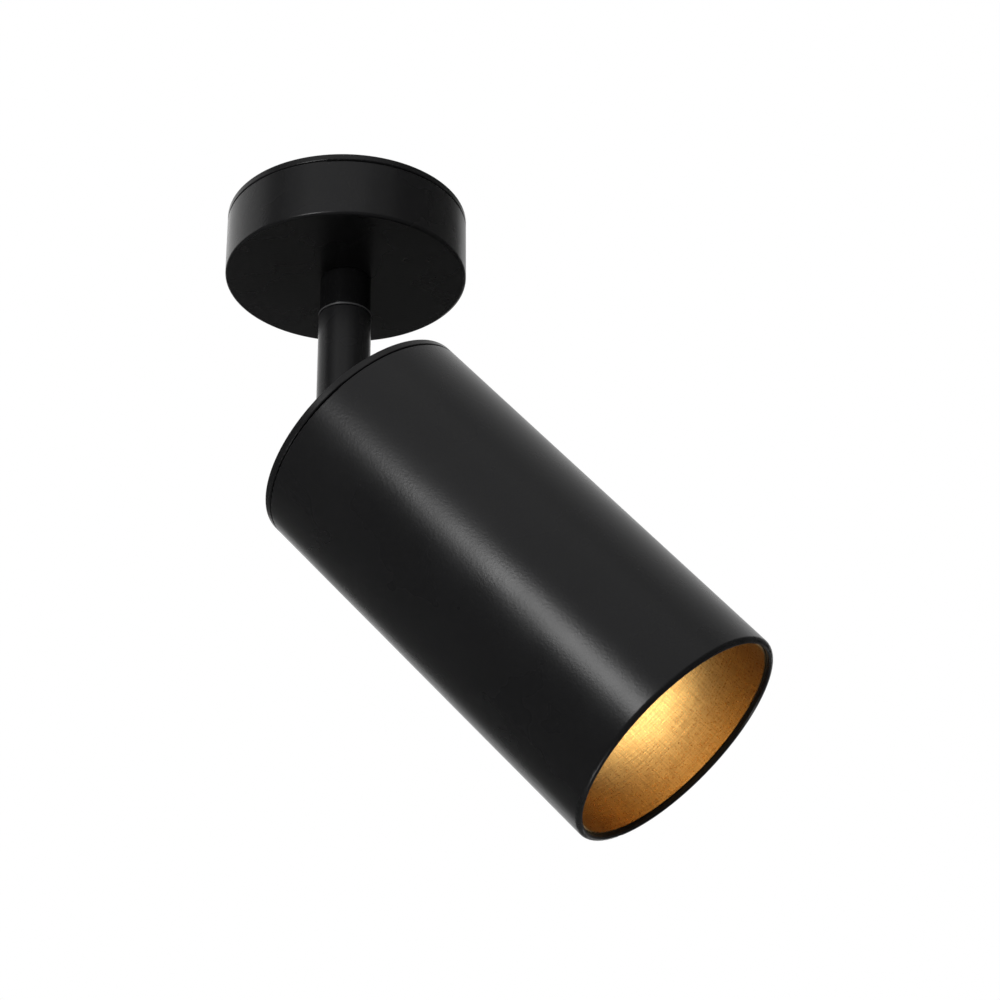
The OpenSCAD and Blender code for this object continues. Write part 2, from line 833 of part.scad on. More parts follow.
// Main tube, open at both ends, with a rounded front edge
module head_tube() {
    color(black)
    on_head()
    rotate_extrude()
        difference() {
            ring_profile(head_inner_r, head_r, tube_rear, front, cap_step_edge, lip_r);
            translate([head_inner_r, front])
                polygon([[0, -lip_chamfer], [lip_chamfer, 0], [0, cut], [-cut, 0]]);
        }
}

// Steel strap that stands on the cap and carries the holder
module holder_bracket() {
    leg_r = strap_span / 2;
    color(steel)
    on_head()
    difference() {
        union() {
            translate([-leg_r, -strap_w / 2, strap_bottom]) cube([strap_span, strap_w, strap_t]);
            for (side = [0, 180])
                rotate([0, 0, side]) {
                    translate([leg_r - strap_t, -strap_w / 2, cap_inside])
                        cube([strap_t, strap_w, strap_top - cap_inside]);
                    translate([leg_r - strap_t, -strap_w / 2, cap_inside])
                        cube([foot_len + strap_t, strap_w, strap_t]);
                }
        }
        for (side = [-1, 1]) {
            translate([side * bracket_screw_x, 0, 0])
                post(m3_d / 2 + slip_fit, cap_inside - cut, cap_inside + strap_t + cut);
            translate([side * holder_screw_x, 0, 0])
                post(m3_d / 2 + slip_fit, strap_bottom - cut, strap_top + cut);
        }
    }
}

module bracket_screws() {
    color(steel)
    on_head()
    for (side = [-1, 1])
        translate([side * bracket_screw_x, 0, cap_inside + strap_t])
            screw(m3_d / 2, cap_screw_bite + strap_t, m3_head_d / 2, m3_head_t);
}

module holder_screws() {
    color(steel)
    on_head()
    for (side = [-1, 1])
        translate([side * holder_screw_x, 0, strap_bottom])
            rotate([180, 0, 0])
                screw(m3_d / 2, strap_t + holder_screw_bite, m3_head_d / 2, m3_head_t);
}

// Ceramic holder with two twist-lock slots
module lamp_holder() {
    color(ceramic)
    on_head()
    difference() {
        intersection() {
            post(holder_d / 2, holder_back, holder_front);
            translate([-holder_d / 2, -holder_w / 2, holder_back]) cube([holder_d, holder_w, holder_len]);
        }
        for (side = [0, 180]) rotate([0, 0, side]) {
            pin_slot(neck_slot_r, chamber_top - cut, holder_front + cut);
            pin_slot(head_slot_r, chamber_floor, chamber_top);
            at_pin(lamp_turn) post(head_slot_r, chamber_floor + 2 * slip_fit, holder_front + cut);
            at_pin(0) post(lead_hole_r, holder_back - cut, chamber_floor + cut);
        }
        for (side = [-1, 1])
            translate([side * holder_screw_x, 0, 0])
                post(m3_d / 2 + run_fit, holder_back - cut, holder_back + holder_screw_bite + slip_fit);
    }
}

// A place on the pin circle, turned from where the pin is locked
module at_pin(turn) {
    rotate([0, 0, 90 + turn]) translate([pin_radius, 0, 0]) children();
}

// The arc that a pin sweeps when the lamp is turned, and the deeper round end where it locks
module pin_slot(r, low, high) {
    arc_r = r - run_fit;
    arc_h = high - low - 2 * slip_fit;
    rotate([0, 0, 90])
        rotate_extrude(angle = lamp_turn)
            translate([pin_radius - arc_r, low + slip_fit]) square([2 * arc_r, arc_h]);
    at_pin(0) post(r, low, high);
}

// Spring contacts on the floor of each chamber
module holder_contacts() {
    contact_w = pin_neck_d;
    reach = sqrt(pow(head_slot_r - run_fit, 2) - pow(contact_w / 2, 2));
    top = lamp_back - pin_len - body_gap;
    color(brass)
    on_head()
    for (side = [0, 180])
        rotate([0, 0, side])
            translate([-contact_w / 2, pin_radius - reach, 0]) {
                translate([0, 0, chamber_floor]) cube([contact_w, 2 * reach, contact_t]);
                translate([0, 0, chamber_floor]) cube([contact_w, contact_t, top - chamber_floor]);
                translate([0, 0, top - contact_t]) cube([contact_w, 2 * reach - contact_t, contact_t]);
            }
}

// Leads from the level of the tilt axis, through the neck, to the contacts
module head_lead(side) {
    start = [lead_orbit, side * lead_side, 0];
    start_pull = [0, 0, shoulder / 3];
    neck = [bend_x, side * lead_side, shoulder];
    mouth = [bend_x, side * lead_side, lug_end];
    entry = [0, side * pin_radius, holder_back - lead_r];
    end = [0, side * pin_radius, chamber_floor];
    pull = [0, 0, (entry[2] - mouth[2]) / 2];
    on_head()
        lead(concat([start, start + start_pull], [start + (neck - start) / 2], [neck],
                    curve(mouth, mouth + pull, entry - pull, entry, 8), [end]), [0, 1, 0]);
}

module head_live_lead() {
    color(live) head_lead(1);
}

module head_neutral_lead() {
    color(neutral) head_lead(-1);
}

// Leads from the terminal block over the nut and down into the bolt
module bolt_lead(pole, side) {
    start = [block_x + tube_len / 2 - lead_grip, pole * pole_pitch, pole_z];
    leave = [block_x + block_depth / 2 + lead_r, pole * pole_pitch, pole_z];
    end = [0, side * lead_side, bolt_top + lead_r + run_fit];
    drop = end + [0, 0, lead_r];
    pull_out = [block_depth / 4, 0, 0];
    pull_in = [0, 0, lead_d];
    lead(concat([start], curve(leave, leave + pull_out, drop + pull_in, drop, 10), [end]), [0, 1, 0]);
}

module canopy_live_lead() {
    color(live) bolt_lead(0, 1);
}

module canopy_neutral_lead() {
    color(neutral) bolt_lead(-1, -1);
}

module canopy_earth_lead() {
    start = [block_x + tube_len / 2 - lead_grip, pole_pitch, pole_z];
    leave = [block_x + block_depth / 2 + lead_r, pole_pitch, pole_z];
    tab_z = -plate_t - earth_tab_t - lead_r;
    end = [earth_screw_at[0] - earth_head_d / 2 - run_fit, earth_screw_at[1], tab_z];
    reach = end - [lead_d, 0, 0];
    pull = [block_depth / 2, 0, 0];
    color("yellowgreen")
    lead(concat([start], curve(leave, leave + pull, reach - pull, reach, 8), [end]), [0, 0, 1]);
}

// Thin gold tube that narrows to the lamp, with a ring that locates the lamp
module gold_baffle() {
    groove_r = grip_ring_r - grip_ring_d / 2 - run_fit;
    color(gold)
    on_head()
    rotate_extrude()
        difference() {
            translate([0, baffle_back]) square([baffle_r, baffle_front - baffle_back]);
            polygon([
                [0, baffle_front + cut], [baffle_inner_r, baffle_front + cut], [baffle_inner_r, cone_front],
                [window_r, cone_back], [window_r, seat_back],
                [lamp_pocket_r, seat_back], [lamp_pocket_r, baffle_back - cut], [0, baffle_back - cut]
            ]);
            translate([groove_r, grip_ring_z - grip_ring_d / 2 - run_fit])
                square([baffle_r - groove_r + cut, grip_ring_d + 2 * run_fit]);
        }
}

module grip_ring() {
    color("#8a8a88")
    on_head()
    rotate_extrude() translate([grip_ring_r, grip_ring_z]) circle(grip_ring_d / 2, $fn = 32);
}

// Outline of the lamp body from its rim back to its base, for a wall set in by a depth
function lamp_side(depth) = [
    for (p = lamp_profile_shares)
        [lamp_r * p[0] - depth, lamp_front - rim_len - (lamp_len - rim_len - base_len) * p[1]]
];

module lamp_shell() {
    outer = lamp_side(0);
    inner = lamp_side(lamp_wall);
    last = len(outer) - 1;
    seat_r = lamp_r - 2 * lamp_wall;
    lens_seat = lamp_front - lens_inset - lens_t;
    color(ceramic)
    on_head()
    rotate_extrude()
        polygon(concat(
            [[lamp_r - lamp_wall, lamp_front], [lamp_r, lamp_front]],
            outer,
            [[0, outer[last][1]], [0, outer[last][1] + lamp_wall]],
            [for (i = [last:-1:0]) inner[i] + [0, i == last ? lamp_wall : 0]],
            [[seat_r, lens_seat], [lamp_r - lamp_wall, lens_seat]]
        ));
}

module lamp_lens() {
    color("#f7f4ea")
    on_head() post(lens_r, lamp_front - lens_inset - lens_t, lamp_front - lens_inset);
}

// Aluminium board with the light source, seated in the taper of the shell
module led_board() {
    seat = lamp_side(lamp_wall)[1];
    board_z = seat[1];
    board_r = seat[0] - board_t / 2;
    color(steel)
    on_head() {
        post(board_r, board_z - board_t, board_z);
        post(board_r / 3, board_z, board_z + board_t / 2);
    }
}

module lamp_base() {
    color(ceramic)
    on_head()
        difference() {
            post(base_r, lamp_back, lamp_back + base_len);
            for (side = [0, 180])
                rotate([0, 0, side]) at_pin(0)
                    post(pin_neck_d / 2 + run_fit, lamp_back - cut, lamp_back + base_len / 2);
        }
}

module lamp_pins() {
    color(brass)
    on_head()
    for (side = [0, 180])
        rotate([0, 0, side]) at_pin(0) {
            post(pin_neck_d / 2, lamp_back - pin_len + pin_head_len, lamp_back + base_len / 2);
            post(pin_head_d / 2, lamp_back - pin_len, lamp_back - pin_len + pin_head_len);
        }
}

mounting_plate();
canopy_cup();
side_screws();
terminal_block();
terminal_tubes();
clamp_screws();
block_screws();
earth_screw();
swivel_bolt();
bolt_lock_washer();
bolt_nut();
collar();
swivel_washer();
stop_pin();
canopy_live_lead();
canopy_neutral_lead();
canopy_earth_lead();
stem_tube();
disc_spring();
stem_tongue();
stem_sleeve();
stem_live_lead();
stem_neutral_lead();
knuckle_leads();
head_lug();
pivot_screw();
pivot_spring_washer();
friction_washer();
lug_lock_washer();
lug_nut();
rear_cap();
head_tube();
holder_bracket();
bracket_screws();
lamp_holder();
holder_contacts();
holder_screws();
head_live_lead();
head_neutral_lead();
gold_baffle();
grip_ring();
lamp_shell();
lamp_lens();
led_board();
lamp_base();
lamp_pins();
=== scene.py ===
"""Ceiling spotlight: a black canopy, stem and tube head on a knuckle, with a gold baffle."""
import math

import bpy
from mathutils import Matrix, Vector

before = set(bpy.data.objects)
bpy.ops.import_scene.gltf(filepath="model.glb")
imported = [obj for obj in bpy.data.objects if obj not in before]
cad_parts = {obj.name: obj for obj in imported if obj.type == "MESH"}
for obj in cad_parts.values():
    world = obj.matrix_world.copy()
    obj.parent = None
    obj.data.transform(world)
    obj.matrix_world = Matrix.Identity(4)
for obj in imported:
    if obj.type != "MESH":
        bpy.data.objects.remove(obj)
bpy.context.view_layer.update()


# Camera: the photograph looks up at the spotlight from below and a little to its right, with a
# long lens, so the picture shows the underside of the canopy and the far inside of the baffle.
camera_at = Vector((0.11897, -0.55111, -0.37418))
camera_yaw = math.radians(-8.309)
camera_pitch = math.radians(27.647)
camera_roll = math.radians(-0.434)
ahead = Vector((
    math.sin(camera_yaw) * math.cos(camera_pitch),
    math.cos(camera_yaw) * math.cos(camera_pitch),
    math.sin(camera_pitch),
))
right = Vector((math.cos(camera_yaw), -math.sin(camera_yaw), 0))
above = right.cross(ahead)
right, above = (
    math.cos(camera_roll) * right + math.sin(camera_roll) * above,
    math.cos(camera_roll) * above - math.sin(camera_roll) * right,
)
camera_turn = Matrix((right, above, -ahead)).transposed().to_4x4()
camera = bpy.data.objects.new("camera", bpy.data.cameras.new("camera"))
camera.data.lens = 95.72
camera.data.sensor_width = 36
camera.data.clip_start = 0.01
camera.data.clip_end = 50
camera.matrix_world = Matrix.Translation(camera_at) @ camera_turn
bpy.context.scene.collection.objects.link(camera)
bpy.context.scene.camera = camera
bpy.context.scene.view_settings.view_transform = "Standard"


# Mounting plate: a pressed steel disc that is screwed to the ceiling, with two folded ears inside.
# It has the same black powder coat as the cup, baked on, so it is satin with a fine orange peel.
def add_node(tree, kind, sockets=(), **settings):
    """A node with its settings, and with values or links in its sockets, by name or number."""
    node = tree.nodes.new(kind)
    for key, value in settings.items():
        setattr(node, key, value)
    for key, value in dict(sockets).items():
        if isinstance(value, bpy.types.NodeSocket):
            tree.links.new(value, node.inputs[key])
        else:
            node.inputs[key].default_value = value
    return node


def new_group(name, inputs, outputs):
    """An empty effect with named inputs and outputs, and the two nodes that hold them."""
    tree = bpy.data.node_groups.new(name, "ShaderNodeTree")
    for label, value in inputs.items():
        kinds = {3: "NodeSocketVector", 4: "NodeSocketColor"}
        kind = kinds[len(value)] if hasattr(value, "__len__") else "NodeSocketFloat"
        tree.interface.new_socket(label, in_out="INPUT", socket_type=kind).default_value = value
    for label, kind in outputs.items():
        tree.interface.new_socket(label, in_out="OUTPUT", socket_type="NodeSocket" + kind)
    return tree, tree.nodes.new("NodeGroupInput"), tree.nodes.new("NodeGroupOutput")


def give(tree, given, **results):
    """Links the results of an effect to its outputs."""
    for label, socket in results.items():
        tree.links.new(socket, given.inputs[label])


def object_place(tree):
    """Where a point of the surface lies in the part's own frame, in metres."""
    return add_node(tree, "ShaderNodeTexCoord").outputs["Object"]


def math_node(tree, operation, first, second=0.0):
    """The result of one sum on two values or sockets."""
    return add_node(tree, "ShaderNodeMath", {0: first, 1: second}, operation=operation).outputs[0]


def stretch(tree, value, old, new):
    """A value moved from an old range to a new one, and kept inside it."""
    sockets = {"Value": value, "From Min": old[0], "From Max": old[1], "To Min": new[0], "To Max": new[1]}
    return add_node(tree, "ShaderNodeMapRange", sockets).outputs["Result"]


def vary(tree, value, by, spread, old=(0.3, 0.7)):
    """A value raised and lowered a little by a noise."""
    return math_node(tree, "ADD", value, stretch(tree, by, old, spread))


def scale_colour(tree, colour, amount):
    """A colour made darker or lighter by a value."""
    node = add_node(tree, "ShaderNodeVectorMath", {0: colour}, operation="SCALE")
    tree.links.new(amount, node.inputs["Scale"])
    return node.outputs["Vector"]


def mix_colours(tree, share, first, second):
    """One colour turning into another by a share."""
    node = add_node(tree, "ShaderNodeMix", {"Factor": share}, data_type="RGBA")
    for label, value in (("A", first), ("B", second)):
        socket = [s for s in node.inputs if s.name == label and s.type == "RGBA"][0]
        if isinstance(value, bpy.types.NodeSocket):
            tree.links.new(value, socket)
        else:
            socket.default_value = value
    return [s for s in node.outputs if s.type == "RGBA"][0]


def noise(tree, place, scale, detail=2.0, roughness=0.5):
    """Soft noise over the surface, from 0 to 1."""
    sockets = {"Vector": place, "Scale": scale, "Detail": detail, "Roughness": roughness}
    return add_node(tree, "ShaderNodeTexNoise", sockets).outputs["Fac"]


surface = {"Colour": "Color", "Roughness": "Float", "Height": "Float"}
orange_peel, taken, given = new_group(
    "orange_peel",
    {"Paint": (0.02, 0.02, 0.02, 1), "Roughness": 0.4, "Lumps per metre": 1800.0}, surface)
place = object_place(orange_peel)
grit_per_lump = 3.1
grit_height = 0.3
clouds_per_metre = 55.0
grit_scale = math_node(orange_peel, "MULTIPLY", taken.outputs["Lumps per metre"], grit_per_lump)
lumps = noise(orange_peel, place, taken.outputs["Lumps per metre"], detail=3.0, roughness=0.55)
grit = noise(orange_peel, place, grit_scale)
cloud = noise(orange_peel, place, clouds_per_metre, detail=3.0)
shade = math_node(
    orange_peel, "MULTIPLY",
    stretch(orange_peel, cloud, (0.3, 0.7), (0.93, 1.07)),
    stretch(orange_peel, grit, (0.3, 0.7), (0.9, 1.1)))
give(
    orange_peel, given,
    Colour=scale_colour(orange_peel, taken.outputs["Paint"], shade),
    Roughness=vary(orange_peel, taken.outputs["Roughness"], cloud, (-0.03, 0.03)),
    Height=math_node(
        orange_peel, "ADD", lumps, math_node(orange_peel, "MULTIPLY", grit, grit_height)))


def new_material(name, effect, values, bump=0.00002, **shine):
    """A material whose colour, roughness, bump and glow come from an effect."""
    material = bpy.data.materials.new(name)
    material.use_nodes = True
    tree = material.node_tree
    shader = tree.nodes["Principled BSDF"]
    finish = add_node(tree, "ShaderNodeGroup", node_tree=effect)
    for label, value in values.items():
        finish.inputs[label].default_value = value
    tree.links.new(finish.outputs["Colour"], shader.inputs["Base Color"])
    tree.links.new(finish.outputs["Roughness"], shader.inputs["Roughness"])
    if "Glow" in finish.outputs:
        tree.links.new(finish.outputs["Glow"], shader.inputs["Emission Color"])
    relief = add_node(tree, "ShaderNodeBump", {"Height": finish.outputs["Height"], "Distance": bump})
    tree.links.new(relief.outputs["Normal"], shader.inputs["Normal"])
    for label, value in shine.items():
        shader.inputs[label.replace("_", " ")].default_value = value
    return material


def dress(material, *nodes):
    """Puts a material on CAD nodes."""
    for name in nodes:
        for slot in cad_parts[name].material_slots:
            slot.material = material


powder_black = new_material(
    "powder_black", orange_peel,
    {"Paint": (0.0072, 0.0072, 0.0076, 1), "Roughness": 0.28, "Lumps per metre": 1600.0},
    bump=0.000023, IOR=1.2)
dress(powder_black, "mounting_plate")


# Canopy cup: a turned aluminium cup that slides over the plate and hides the wiring. It is coated
# like the plate and held by two headless screws through its wall.
dress(powder_black, "canopy_cup")


# Side screws: black-oxide steel set screws with a hexagon socket. Their threads are rolled, so
# they keep a dark, slightly oily skin with lighter rubs.
oiled_steel, taken, given = new_group(
    "oiled_steel",
    {"Metal": (0.05, 0.05, 0.055, 1), "Roughness": 0.35, "Spots per metre": 900.0}, surface)
place = object_place(oiled_steel)
rubs_per_metre = 160.0
spots = noise(oiled_steel, place, taken.outputs["Spots per metre"], detail=4.0, roughness=0.6)
rubs = noise(oiled_steel, place, rubs_per_metre, detail=3.0)
rubbed = stretch(oiled_steel, rubs, (0.35, 0.7), (0.8, 1.7))
give(
    oiled_steel, given,
    Colour=scale_colour(oiled_steel, taken.outputs["Metal"], rubbed),
    Roughness=vary(oiled_steel, taken.outputs["Roughness"], spots, (-0.08, 0.1)),
    Height=spots)
black_oxide = new_material(
    "black_oxide", oiled_steel, {"Metal": (0.028, 0.028, 0.03, 1), "Roughness": 0.42},
    bump=0.00001, Metallic=0.9)
dress(black_oxide, "side_screws")


# Terminal block: three poles moulded in natural nylon, a little see-through, with brass tubes
# inside. The moulding has a fine spark-eroded grain.
moulded, taken, given = new_group(
    "moulded",
    {"Plastic": (0.8, 0.78, 0.7, 1), "Roughness": 0.5, "Grain per metre": 3000.0}, surface)
place = object_place(moulded)
flows_per_metre = 120.0
grain = noise(moulded, place, taken.outputs["Grain per metre"], detail=3.0, roughness=0.6)
flows = noise(moulded, place, flows_per_metre, detail=3.0)
give(
    moulded, given,
    Colour=scale_colour(
        moulded, taken.outputs["Plastic"], stretch(moulded, flows, (0.3, 0.7), (0.92, 1.04))),
    Roughness=vary(moulded, taken.outputs["Roughness"], grain, (-0.06, 0.06)),
    Height=grain)
natural_nylon = new_material(
    "natural_nylon", moulded, {"Plastic": (0.76, 0.73, 0.64, 1), "Roughness": 0.46},
    bump=0.000015, Subsurface_Weight=0.25, Subsurface_Scale=0.002, IOR=1.53)
dress(natural_nylon, "terminal_block")


# Terminal tubes, earth screw, nut and contacts: plain brass, drawn or turned from bar, with a
# dull mottled skin where it has been handled.
brass_skin, taken, given = new_group(
    "brass_skin",
    {"Brass": (0.72, 0.5, 0.2, 1), "Dull": (0.42, 0.27, 0.1, 1), "Roughness": 0.3}, surface)
place = object_place(brass_skin)
mottles_per_metre = 420.0
scores_per_metre = 5200.0
mottle = noise(brass_skin, place, mottles_per_metre, detail=5.0, roughness=0.62)
scores = noise(brass_skin, place, scores_per_metre)
dulled = stretch(brass_skin, mottle, (0.42, 0.72), (0.0, 0.65))
give(
    brass_skin, given,
    Colour=mix_colours(brass_skin, dulled, taken.outputs["Brass"], taken.outputs["Dull"]),
    Roughness=vary(
        brass_skin, taken.outputs["Roughness"], mottle, (-0.06, 0.16), old=(0.35, 0.7)),
    Height=scores)
plain_brass = new_material("plain_brass", brass_skin, {"Roughness": 0.3}, bump=0.000006, Metallic=1)
dress(plain_brass, "terminal_tubes", "earth_screw", "bolt_nut", "holder_contacts", "lamp_pins")


# Small screws, washers and the bracket: zinc-plated steel. Zinc grows in fine bright crystals
# under a clear chromate film, which tints them faintly blue and yellow.
zinc_skin, taken, given = new_group(
    "zinc_skin",
    {"Zinc": (0.6, 0.61, 0.62, 1), "Tint": (0.66, 0.62, 0.5, 1), "Roughness": 0.32}, surface)
place = object_place(zinc_skin)
films_per_metre = 260.0
crystals_per_metre = 1500.0
crystal_range = (0.0, 0.8)
crystals = add_node(
    zinc_skin, "ShaderNodeTexVoronoi",
    {"Vector": place, "Scale": crystals_per_metre}).outputs["Distance"]
film = stretch(
    zinc_skin, noise(zinc_skin, place, films_per_metre, detail=3.0), (0.4, 0.65), (0.0, 0.8))
give(
    zinc_skin, given,
    Colour=scale_colour(
        zinc_skin,
        mix_colours(zinc_skin, film, taken.outputs["Zinc"], taken.outputs["Tint"]),
        stretch(zinc_skin, crystals, crystal_range, (1.08, 0.86))),
    Roughness=vary(
        zinc_skin, taken.outputs["Roughness"], crystals, (-0.08, 0.1), old=crystal_range),
    Height=crystals)
zinc_plate = new_material("zinc_plate", zinc_skin, {"Roughness": 0.32}, bump=0.000006, Metallic=1)
dress(zinc_plate, "clamp_screws", "block_screws", "bolt_lock_washer", "stop_pin", "pivot_spring_washer",
      "lug_lock_washer", "holder_bracket", "bracket_screws", "holder_screws")


# Swivel bolt and disc spring: turned steel on the vertical axis, zinc plated, with the rings that
# the lathe leaves. The bolt is hollow for the leads, and its head carries the stem.
def from_centre(tree, taken):
    """The way from the centre to a point, how far along the axis it is and how far out from it."""
    arm = add_node(
        tree, "ShaderNodeVectorMath", {0: object_place(tree), 1: taken.outputs["Centre"]},
        operation="SUBTRACT").outputs["Vector"]
    along = add_node(
        tree, "ShaderNodeVectorMath", {0: arm, 1: taken.outputs["Axis"]},
        operation="DOT_PRODUCT").outputs["Value"]
    whole = add_node(tree, "ShaderNodeVectorMath", {0: arm}, operation="LENGTH").outputs["Value"]
    whole_squared = math_node(tree, "MULTIPLY", whole, whole)
    along_squared = math_node(tree, "MULTIPLY", along, along)
    out = math_node(tree, "SQRT", math_node(tree, "SUBTRACT", whole_squared, along_squared))
    return arm, along, out


lathe_rings, taken, given = new_group(
    "lathe_rings",
    {"Metal": (0.6, 0.61, 0.62, 1), "Roughness": 0.3, "Rings per metre": 4200.0,
     "Centre": (0, 0, 0), "Axis": (0, 0, 1)}, surface)
arm, along, out = from_centre(lathe_rings, taken)
spot = add_node(lathe_rings, "ShaderNodeCombineXYZ", {"X": along, "Y": out}).outputs["Vector"]
rings = noise(lathe_rings, spot, taken.outputs["Rings per metre"], detail=4.0, roughness=0.65)
give(
    lathe_rings, given,
    Colour=scale_colour(
        lathe_rings, taken.outputs["Metal"], stretch(lathe_rings, rings, (0.3, 0.7), (0.86, 1.08))),
    Roughness=vary(lathe_rings, taken.outputs["Roughness"], rings, (-0.06, 0.08)),
    Height=rings)
turned_zinc = new_material("turned_zinc", lathe_rings, {"Roughness": 0.3}, bump=0.000006, Metallic=1)
dress(turned_zinc, "swivel_bolt")
spring_steel = new_material(
    "spring_steel", lathe_rings, {"Metal": (0.42, 0.43, 0.45, 1), "Roughness": 0.26},
    bump=0.000004, Metallic=1)
dress(spring_steel, "disc_spring")


# Collar: turned aluminium, pressed against the cup by the bolt, in a smoother black coat than the
# cup because it rubs on the washer. Its paint is darker than the cup's: painted shade for the
# shadow that the canopy casts on it.
collar_black_painted_shade = new_material(
    "collar_black_painted_shade", orange_peel,
    {"Paint": (0.0035, 0.0035, 0.0037, 1), "Roughness": 0.22, "Lumps per metre": 2400.0},
    bump=0.00001, IOR=1.2)
dress(collar_black_painted_shade, "collar")


# Nylon washers: black nylon discs, stamped from sheet, on which the stem and the knuckle turn.
# Their faces keep the fine grain of the rolled sheet.
black_nylon = new_material(
    "black_nylon", moulded,
    {"Plastic": (0.022, 0.022, 0.023, 1), "Roughness": 0.55, "Grain per metre": 4000.0},
    bump=0.00001, IOR=1.53)
dress(black_nylon, "swivel_washer", "friction_washer")


# Leads: silicone-insulated wires, brown for live, blue for neutral, green and yellow for earth.
# The rubber is dusted with talc at the factory, so it is matt and slightly blotched.
brown = (0.16, 0.06, 0.03, 1)
blue = (0.03, 0.12, 0.42, 1)
talc_white = (0.75, 0.74, 0.72, 1)
dust_per_metre = 900.0
rubber, taken, given = new_group(
    "rubber", {"Rubber": (0.2, 0.07, 0.03, 1), "Talc": 0.12, "Roughness": 0.6}, surface)
dusting = noise(rubber, object_place(rubber), dust_per_metre, detail=5.0, roughness=0.6)
dusted = math_node(
    rubber, "MULTIPLY", stretch(rubber, dusting, (0.4, 0.75), (0.0, 1.0)), taken.outputs["Talc"])
give(
    rubber, given,
    Colour=mix_colours(rubber, dusted, taken.outputs["Rubber"], talc_white),
    Roughness=vary(rubber, taken.outputs["Roughness"], dusting, (-0.08, 0.12)),
    Height=dusting)
live_lead = new_material("live_lead", rubber, {"Rubber": brown}, bump=0.00001, IOR=1.42)
dress(live_lead, "canopy_live_lead", "stem_live_lead", "head_live_lead")
neutral_lead = new_material("neutral_lead", rubber, {"Rubber": blue}, bump=0.00001, IOR=1.42)
dress(neutral_lead, "canopy_neutral_lead", "stem_neutral_lead", "head_neutral_lead")

earth_colours, taken, given = new_group(
    "earth_colours",
    {"Green": (0.04, 0.3, 0.05, 1), "Yellow": (0.8, 0.62, 0.03, 1), "Roughness": 0.55}, surface)
coordinates = add_node(earth_colours, "ShaderNodeTexCoord")
facing = add_node(
    earth_colours, "ShaderNodeSeparateXYZ", {0: coordinates.outputs["Normal"]}).outputs["Z"]
blotches_per_metre = 1500.0
ragged = 0.1
blotches = noise(earth_colours, coordinates.outputs["Object"], blotches_per_metre, detail=3.0)
edge = math_node(
    earth_colours, "ADD", facing, math_node(earth_colours, "MULTIPLY", blotches, ragged))
band = stretch(earth_colours, edge, (0.1, 0.2), (0.0, 1.0))
give(
    earth_colours, given,
    Colour=mix_colours(earth_colours, band, taken.outputs["Green"], taken.outputs["Yellow"]),
    Roughness=vary(earth_colours, taken.outputs["Roughness"], blotches, (-0.06, 0.08)),
    Height=blotches)
earth_lead = new_material("earth_lead", earth_colours, {}, bump=0.00001, IOR=1.42)
dress(earth_lead, "canopy_earth_lead")

lead_pair, taken, given = new_group(
    "lead_pair", {"Live": brown, "Neutral": blue, "Roughness": 0.6}, surface)
place = object_place(lead_pair)
side = add_node(lead_pair, "ShaderNodeSeparateXYZ", {0: place}).outputs["Y"]
dusting = noise(lead_pair, place, dust_per_metre, detail=5.0, roughness=0.6)
give(
    lead_pair, given,
    Colour=scale_colour(
        lead_pair,
        mix_colours(lead_pair, math_node(lead_pair, "GREATER_THAN", side, 0.0),
                    taken.outputs["Neutral"], taken.outputs["Live"]),
        stretch(lead_pair, dusting, (0.3, 0.75), (0.9, 1.25))),
    Roughness=vary(lead_pair, taken.outputs["Roughness"], dusting, (-0.08, 0.12)),
    Height=dusting)
lead_bends = new_material("lead_bends", lead_pair, {}, bump=0.00001, IOR=1.42)
dress(lead_bends, "knuckle_leads")


# Stem and knuckle: a turned aluminium tube and two milled and turned halves of the knuckle, in a
# thinner and smoother black coat than the head, so that they still fit each other.
coat_smooth = new_material(
    "coat_smooth", orange_peel,
    {"Paint": (0.0072, 0.0072, 0.0076, 1), "Roughness": 0.28, "Lumps per metre": 1900.0},
    bump=0.000016, IOR=1.2)
dress(coat_smooth, "stem_tube", "stem_tongue", "head_lug")


# Glass-fibre sleeve: a white braid pulled over the two leads where they pass through the hollow
# bolt, one strand over and one under.
braid, taken, given = new_group(
    "braid",
    {"Strand": (0.78, 0.76, 0.7, 1), "Gap": (0.3, 0.28, 0.24, 1), "Roughness": 0.7,
     "Strands round": 12.0, "Turns per metre": 160.0}, surface)
place = object_place(braid)
fibres_per_metre = 6000.0
fibre_height = 0.4
parts = add_node(braid, "ShaderNodeSeparateXYZ", {0: place})
angle = math_node(braid, "ARCTAN2", parts.outputs["Y"], parts.outputs["X"])
round_about = math_node(braid, "MULTIPLY", angle, taken.outputs["Strands round"])
turns = math_node(braid, "MULTIPLY", parts.outputs["Z"], taken.outputs["Turns per metre"])
down = math_node(braid, "MULTIPLY", turns, 2 * math.pi)
one_way = math_node(braid, "SINE", math_node(braid, "ADD", round_about, down))
other_way = math_node(braid, "SINE", math_node(braid, "SUBTRACT", round_about, down))
weave = math_node(braid, "MULTIPLY", one_way, other_way)
fibres = noise(braid, place, fibres_per_metre)
open_share = stretch(braid, weave, (-0.9, 0.3), (1.0, 0.0))
give(
    braid, given,
    Colour=mix_colours(braid, open_share, taken.outputs["Strand"], taken.outputs["Gap"]),
    Roughness=vary(braid, taken.outputs["Roughness"], fibres, (-0.05, 0.05)),
    Height=math_node(braid, "ADD", weave, math_node(braid, "MULTIPLY", fibres, fibre_height)))
glass_sleeve = new_material("glass_sleeve", braid, {}, bump=0.00008)
dress(glass_sleeve, "stem_sleeve")


# Pivot screw: a black-oxide socket screw that clamps the two halves of the knuckle. It goes
# through the lug and is tightened with a key from the side.
dress(black_oxide, "pivot_screw")


